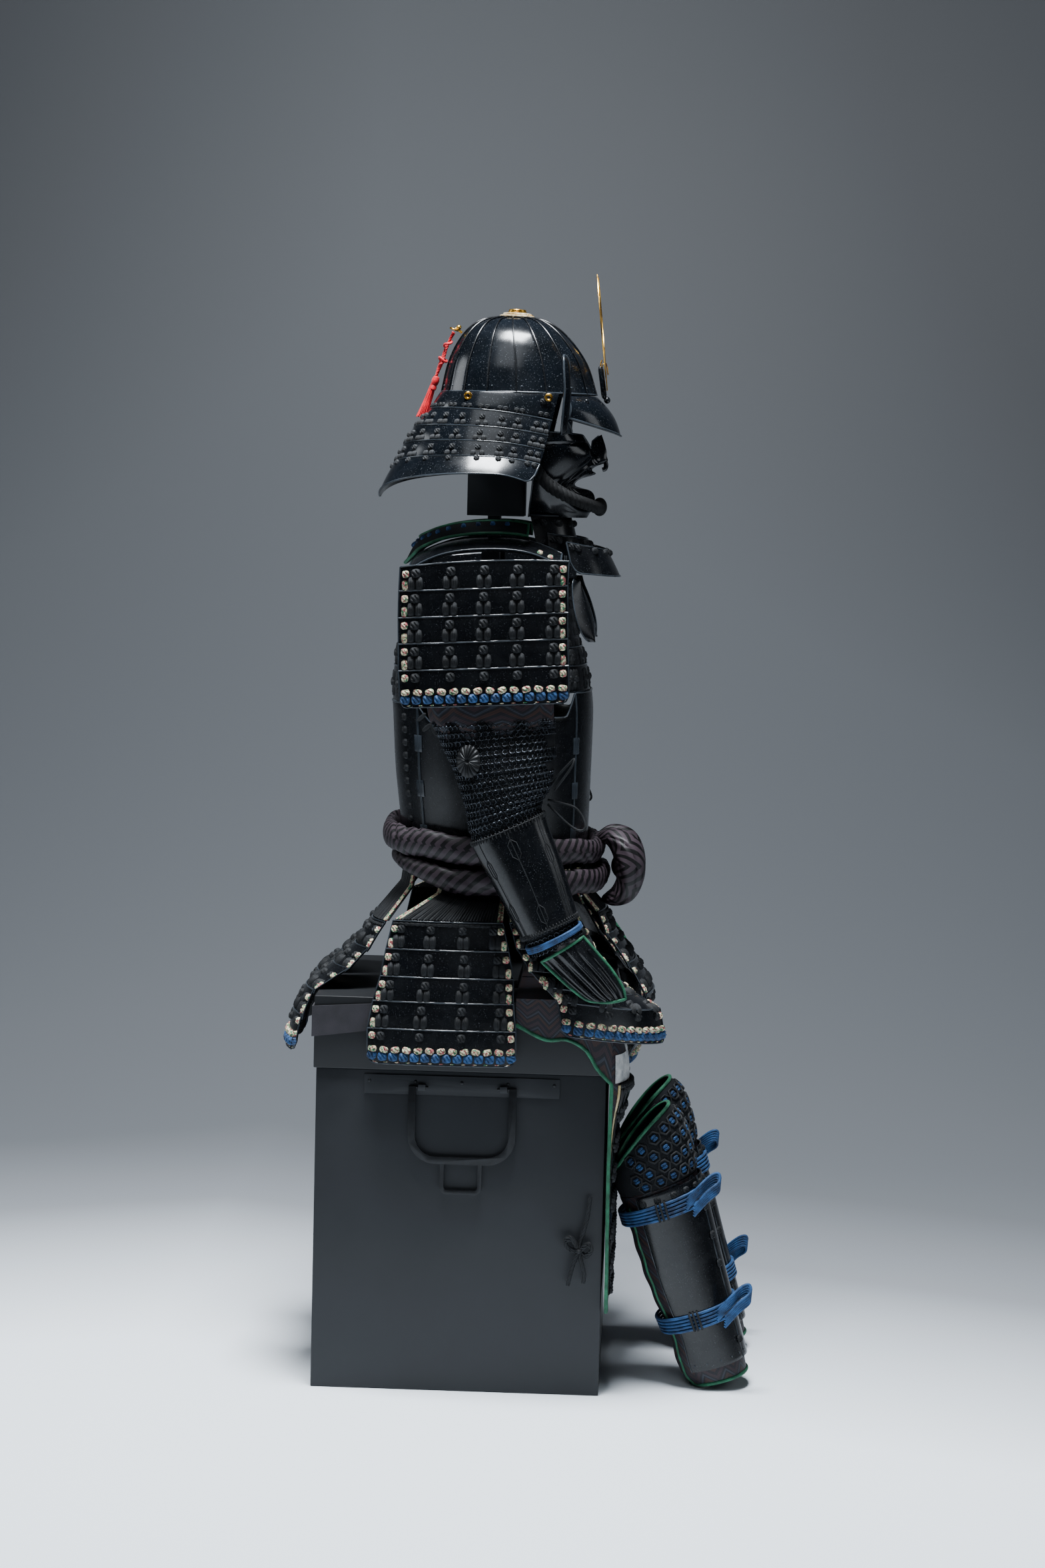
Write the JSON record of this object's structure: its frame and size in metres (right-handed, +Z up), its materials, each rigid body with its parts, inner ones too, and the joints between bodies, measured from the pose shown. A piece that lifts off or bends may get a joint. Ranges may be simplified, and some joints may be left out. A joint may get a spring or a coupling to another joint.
{
  "type": "samurai armour on its storage chest and stand",
  "caption": "Full samurai armour, empty, set out on its square storage chest and stand: ribbed helmet, half mask, laced plates, sash, brocade sleeves, thigh and shin guards.",
  "frame": {"origin": "on the floor under the middle of the storage chest", "axes": "+X forward, the way the armour faces; +Y its wearer's left; +Z up"},
  "size_m": [0.7157, 0.5492, 1.6641],
  "materials": {
    "black_lacquer": "gloss",
    "chest_paint": "satin",
    "stand_paint": "satin",
    "black_iron": "satin",
    "gilt_brass": "polished",
    "red_silk": "satin",
    "black_cord": "matt",
    "brocade": "matt",
    "black_cloth": "matt"
  },
  "bodies": {
    "root": {"back_lames": "black_lacquer", "chest_body": "chest_paint", "chest_lames": "black_lacquer", "chest_lid": "chest_paint", "chin_cord": "black_cord", "collar": "brocade", "crest": "gilt_brass", "crest_holder": "black_lacquer", "crown_fitting": "gilt_brass", "cuirass_back": "black_lacquer", "cuirass_front": "black_lacquer", "cuirass_side_left": "black_lacquer", "cuirass_side_right": "black_lacquer", "fitting_plate_left": "black_iron", "fitting_plate_right": "black_iron", "forearm_plates_left": "black_lacquer", "forearm_plates_right": "black_lacquer", "hand_guard_left": "black_lacquer", "hand_guard_right": "black_lacquer", "head_block": "stand_paint", "helmet_band": "black_lacquer", "helmet_bowl": "black_lacquer", "knee_guard_left": "black_cloth", "knee_guard_right": "black_cloth", "leaf_left": "black_lacquer", "leaf_right": "black_lacquer", "mask": "black_lacquer", "neck_guard": "black_lacquer", "sash_bow": "black_cloth", "sash_lower": "black_cloth", "sash_upper": "black_cloth", "shin_cloth_left": "brocade", "shin_cloth_right": "brocade", "shin_plates_left": "black_lacquer", "shin_plates_right": "black_lacquer", "shoulder_guard_left": "black_lacquer", "shoulder_guard_right": "black_lacquer", "shoulder_strap_left": "black_lacquer", "shoulder_strap_right": "black_lacquer", "sleeve_left": "brocade", "sleeve_right": "brocade", "stand": "stand_paint", "tassel": "red_silk", "tasset_front": "black_lacquer", "tasset_front_left": "black_lacquer", "tasset_front_right": "black_lacquer", "tasset_rear_left": "black_lacquer", "tasset_rear_right": "black_lacquer", "tasset_side_left": "black_lacquer", "tasset_side_right": "black_lacquer", "thigh_belt": "black_cloth", "thigh_panel_left": "brocade", "thigh_panel_right": "brocade", "throat_guard": "black_lacquer", "turnback_left": "black_lacquer", "turnback_right": "black_lacquer", "visor": "black_lacquer"},
    "bail_right": {"bail_right": "black_iron"},
    "bail_left": {"bail_left": "black_iron"}
  },
  "joints": [
    {"name": "bail_right_hinge", "type": "hinge", "parent": "root", "child": "bail_right", "pos_m": [0.003, -0.221, 0.458], "axis": [-1, 0, 0], "range_deg": [0, 90]},
    {"name": "bail_left_hinge", "type": "hinge", "parent": "root", "child": "bail_left", "pos_m": [0.003, 0.221, 0.458], "axis": [1, 0, 0], "range_deg": [0, 90]}
  ]
}
